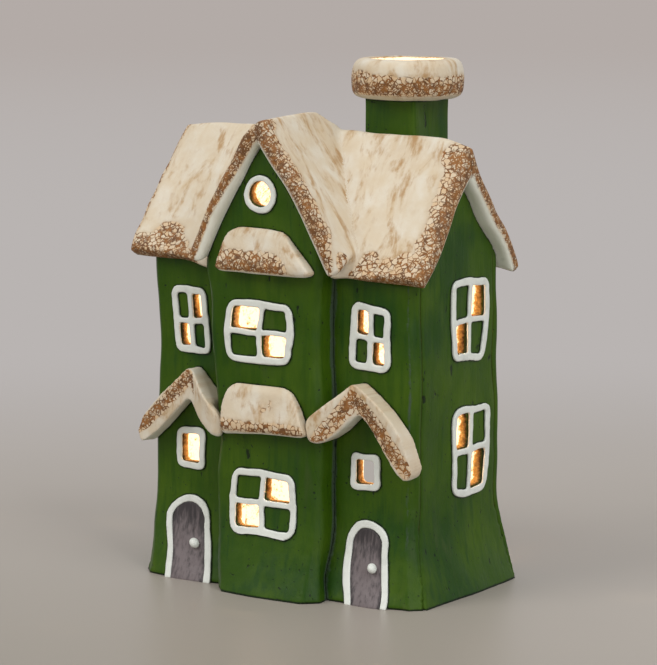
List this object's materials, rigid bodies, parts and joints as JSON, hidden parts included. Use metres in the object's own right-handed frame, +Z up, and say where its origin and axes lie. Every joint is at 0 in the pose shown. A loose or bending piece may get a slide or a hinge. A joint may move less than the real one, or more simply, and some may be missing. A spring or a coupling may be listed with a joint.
{
  "type": "ceramic christmas village house",
  "caption": "Slab-built glazed ceramic house with a snowy roof, bay, porches and chimney, lit by a small light that slides in through a rear arch.",
  "frame": {"origin": "on the table, under the main ridge and the middle of the front", "axes": "+X to the right seen from the front, -Y to the front with the bay, +Z up"},
  "size_m": [0.184, 0.1239, 0.2811],
  "materials": {
    "moss_glaze": "gloss",
    "snow_glaze": "satin",
    "white_slip": "satin",
    "plum_glaze": "satin",
    "wax_plastic": "matte",
    "flame_plastic": "gloss",
    "lamp_resin": "gloss",
    "contact_metal": "satin"
  },
  "bodies": {
    "house": {"floor_slab": "moss_glaze", "left_wing_wall": "moss_glaze", "right_wing_wall": "moss_glaze", "bay_wall": "moss_glaze", "back_wall": "moss_glaze", "left_side_wall": "moss_glaze", "right_side_wall": "moss_glaze", "chimney_stack": "moss_glaze", "rear_roof_slab": "snow_glaze", "left_roof_slab": "snow_glaze", "right_roof_slab": "snow_glaze", "left_bay_roof": "snow_glaze", "right_bay_roof": "snow_glaze", "chimney_cap": "snow_glaze", "upper_ledge": "snow_glaze", "lower_ledge": "snow_glaze", "left_canopy": "snow_glaze", "right_canopy": "snow_glaze", "left_upper_frame": "white_slip", "right_upper_frame": "white_slip", "bay_upper_frame": "white_slip", "bay_lower_frame": "white_slip", "left_porch_frame": "white_slip", "right_porch_frame": "white_slip", "round_frame": "white_slip", "right_side_upper_frame": "white_slip", "right_side_lower_frame": "white_slip", "left_side_upper_frame": "white_slip", "left_side_lower_frame": "white_slip", "left_door_frame": "white_slip", "right_door_frame": "white_slip", "left_door_knob": "white_slip", "right_door_knob": "white_slip", "left_door_leaf": "plum_glaze", "right_door_leaf": "plum_glaze"},
    "light": {"light_case": "wax_plastic", "light_base": "wax_plastic", "flame": "flame_plastic", "lamp": "lamp_resin", "coin_cell": "contact_metal", "top_contact": "contact_metal", "side_contact": "contact_metal"},
    "battery_cover": {"battery_cover": "wax_plastic"},
    "switch": {"switch_slider": "contact_metal"}
  },
  "joints": [
    {"name": "light_slide", "type": "slide", "parent": "house", "child": "light", "axis": [0, 1, 0], "range_m": [0, 0.075]},
    {"name": "cover_turn", "type": "hinge", "parent": "light", "child": "battery_cover", "pos_m": [0.018, 0, 0.0085], "axis": [0, 0, 1], "range_deg": [0, 40]},
    {"name": "switch_slide", "type": "slide", "parent": "light", "child": "switch", "axis": [1, 0, 0], "range_m": [0, 0.0025]}
  ]
}
